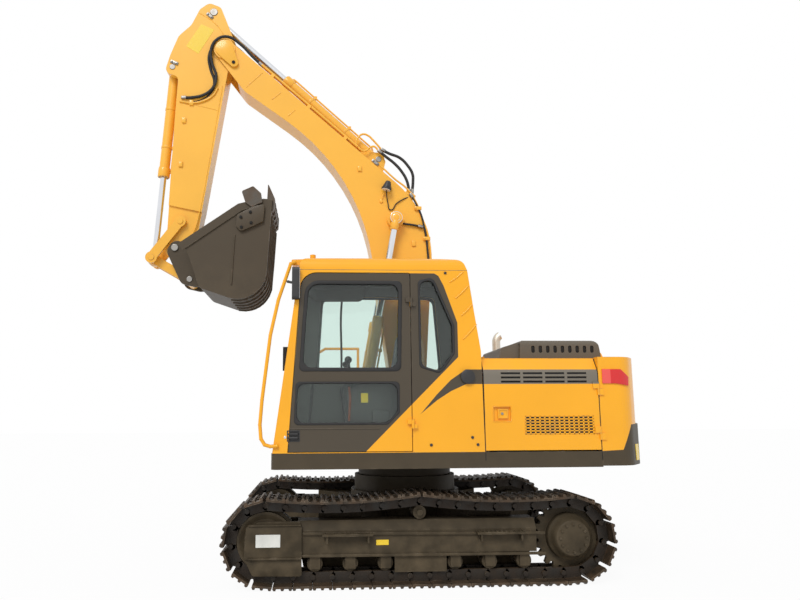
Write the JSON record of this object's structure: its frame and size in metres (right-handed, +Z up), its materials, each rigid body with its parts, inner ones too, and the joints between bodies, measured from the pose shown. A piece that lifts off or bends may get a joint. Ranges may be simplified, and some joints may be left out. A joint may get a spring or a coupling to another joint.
{
  "type": "crawler excavator",
  "caption": "Crawler excavator with steel tracks, swinging upper structure with glazed cab and counterweight, and a jointed boom, arm and digging bucket on hydraulic cylinders.",
  "frame": {"origin": "on the ground under the middle of the machine's length, between the tracks", "axes": "+X forward along the tracks, +Y to the machine's left, +Z up"},
  "size_m": [5.076, 2.618, 6.0959],
  "materials": {
    "yellow_paint": "gloss",
    "taupe_paint": "satin",
    "track_steel": "worn",
    "bare_steel": "satin",
    "engine_iron": "matte",
    "chrome": "polished",
    "glass": "clear",
    "seat_fabric": "woven",
    "black_plastic": "matte",
    "rail_paint": "gloss"
  },
  "bodies": {
    "undercarriage": {"lower_frame": "taupe_paint", "slewing_ring": "track_steel", "track_frame_left": "taupe_paint", "track_frame_right": "taupe_paint", "track_left": "track_steel", "track_right": "track_steel", "rollers_left": "track_steel", "rollers_right": "track_steel", "sprocket_left": "track_steel", "sprocket_right": "track_steel"},
    "upper": {"deck_frame": "taupe_paint", "upper_pins": "bare_steel", "counterweight": "yellow_paint", "counterweight_base": "taupe_paint", "cab_floor": "black_plastic", "cab_left_side": "yellow_paint", "cab_right_side": "yellow_paint", "cab_front": "yellow_paint", "cab_rear": "yellow_paint", "cab_roof": "yellow_paint", "cab_glass": "glass", "seat": "seat_fabric", "controls": "black_plastic", "handrails": "rail_paint", "mirrors": "black_plastic", "engine": "engine_iron", "bay_frame": "yellow_paint", "exhaust": "chrome", "fuel_tank": "yellow_paint", "hydraulic_tank": "yellow_paint", "tool_box": "taupe_paint"},
    "door": {"cab_door": "taupe_paint", "door_glass": "glass"},
    "left_bay_door": {"left_engine_door": "yellow_paint"},
    "right_bay_door": {"right_engine_door": "yellow_paint"},
    "engine_hood": {"hood": "yellow_paint", "hood_cover": "black_plastic"},
    "boom": {"boom": "yellow_paint", "boom_pins": "bare_steel", "boom_pipes": "yellow_paint", "work_lamp": "black_plastic"},
    "arm": {"arm": "yellow_paint", "arm_pins": "bare_steel"},
    "bucket": {"bucket": "taupe_paint", "ear_pin_bar": "bare_steel", "bucket_teeth": "track_steel"},
    "guide_links": {"idler_links": "yellow_paint"},
    "link": {"bucket_link": "yellow_paint"},
    "boom_barrels": {"boom_cylinder_barrels": "yellow_paint"},
    "boom_rods": {"boom_cylinder_rods": "chrome"},
    "arm_barrel": {"arm_cylinder_barrel": "yellow_paint"},
    "arm_rod": {"arm_cylinder_rod": "chrome"},
    "bucket_barrel": {"bucket_cylinder_barrel": "yellow_paint"},
    "bucket_rod": {"bucket_cylinder_rod": "chrome"}
  },
  "joints": [
    {"name": "swing", "type": "hinge", "parent": "undercarriage", "child": "upper", "pos_m": [-0.215, 0, 1], "axis": [0, 0, 1], "continuous": true},
    {"name": "boom_lift", "type": "hinge", "parent": "upper", "child": "boom", "pos_m": [-0.265, 0, 1.6], "axis": [0, -1, 0], "range_deg": [-95, 4]},
    {"name": "arm_swing", "type": "hinge", "parent": "boom", "child": "arm", "pos_m": [1.75537, 0, 5.53122], "axis": [0, 1, 0], "range_deg": [-107, 4]},
    {"name": "bucket_curl", "type": "hinge", "parent": "arm", "child": "bucket", "pos_m": [2.22348, 0, 3.25077], "axis": [0, 1, 0], "range_deg": [-150, 6]},
    {"name": "boom_barrel_tilt", "type": "hinge", "parent": "upper", "child": "boom_barrels", "pos_m": [0.285, 0, 1.27], "axis": [0, -1, 0], "range_deg": [-99.13, 4.18]},
    {"name": "boom_rod_slide", "type": "slide", "parent": "boom_barrels", "child": "boom_rods", "axis": [-0.1805, 0, 0.9836], "range_m": [-0.93722, 0.03994]},
    {"name": "arm_barrel_tilt", "type": "hinge", "parent": "boom", "child": "arm_barrel", "pos_m": [0.03279, 0, 4.29714], "axis": [0, 1, 0], "range_deg": [-2.3, 0.1]},
    {"name": "arm_rod_slide", "type": "slide", "parent": "arm_barrel", "child": "arm_rod", "axis": [0.7386, 0, 0.6742], "range_m": [-0.76906, 0.02923]},
    {"name": "guide_link_turn", "type": "hinge", "parent": "arm", "child": "guide_links", "pos_m": [2.17808, 0, 3.54158], "axis": [0, 1, 0], "range_deg": [-106.35, 4.26]},
    {"name": "bucket_link_turn", "type": "hinge", "parent": "bucket", "child": "link", "pos_m": [2.05756, 0, 2.911], "axis": [0, 1, 0], "range_deg": [-3.31, 82.48]},
    {"name": "bucket_barrel_tilt", "type": "hinge", "parent": "arm", "child": "bucket_barrel", "pos_m": [2.32872, 0, 5.31918], "axis": [0, 1, 0], "range_deg": [-2.44, 0.11]},
    {"name": "bucket_rod_slide", "type": "slide", "parent": "bucket_barrel", "child": "bucket_rod", "axis": [0.0635, 0, -0.998], "range_m": [-0.7814, 0.03174]},
    {"name": "cab_door_hinge", "type": "hinge", "parent": "upper", "child": "door", "pos_m": [-0.153, 1.262, 1.3], "axis": [0, 0, 1], "range_deg": [0, 165]},
    {"name": "left_bay_door_hinge", "type": "hinge", "parent": "upper", "child": "left_bay_door", "pos_m": [-1.86, 1.25, 1.3], "axis": [0, 0, 1], "range_deg": [0, 85]},
    {"name": "right_bay_door_hinge", "type": "hinge", "parent": "upper", "child": "right_bay_door", "pos_m": [-1.86, -1.25, 1.3], "axis": [0, 0, -1], "range_deg": [0, 85]},
    {"name": "hood_hinge", "type": "hinge", "parent": "upper", "child": "engine_hood", "pos_m": [-0.867, 0, 2.0093], "axis": [0, 1, 0], "range_deg": [0, 60]}
  ],
  "couplings": [
    {"joint": "boom_barrel_tilt", "follows": "boom_lift", "ratio": 1.0434},
    {"joint": "boom_rod_slide", "follows": "boom_lift", "m_per_rad": 0.56495},
    {"joint": "arm_barrel_tilt", "follows": "arm_swing", "ratio": 0.021442},
    {"joint": "arm_rod_slide", "follows": "arm_swing", "m_per_rad": 0.41154},
    {"joint": "guide_link_turn", "follows": "bucket_curl", "ratio": 0.70893},
    {"joint": "bucket_link_turn", "follows": "bucket_curl", "ratio": -0.54982},
    {"joint": "bucket_barrel_tilt", "follows": "bucket_curl", "ratio": 0.016236},
    {"joint": "bucket_rod_slide", "follows": "bucket_curl", "m_per_rad": 0.29828}
  ]
}
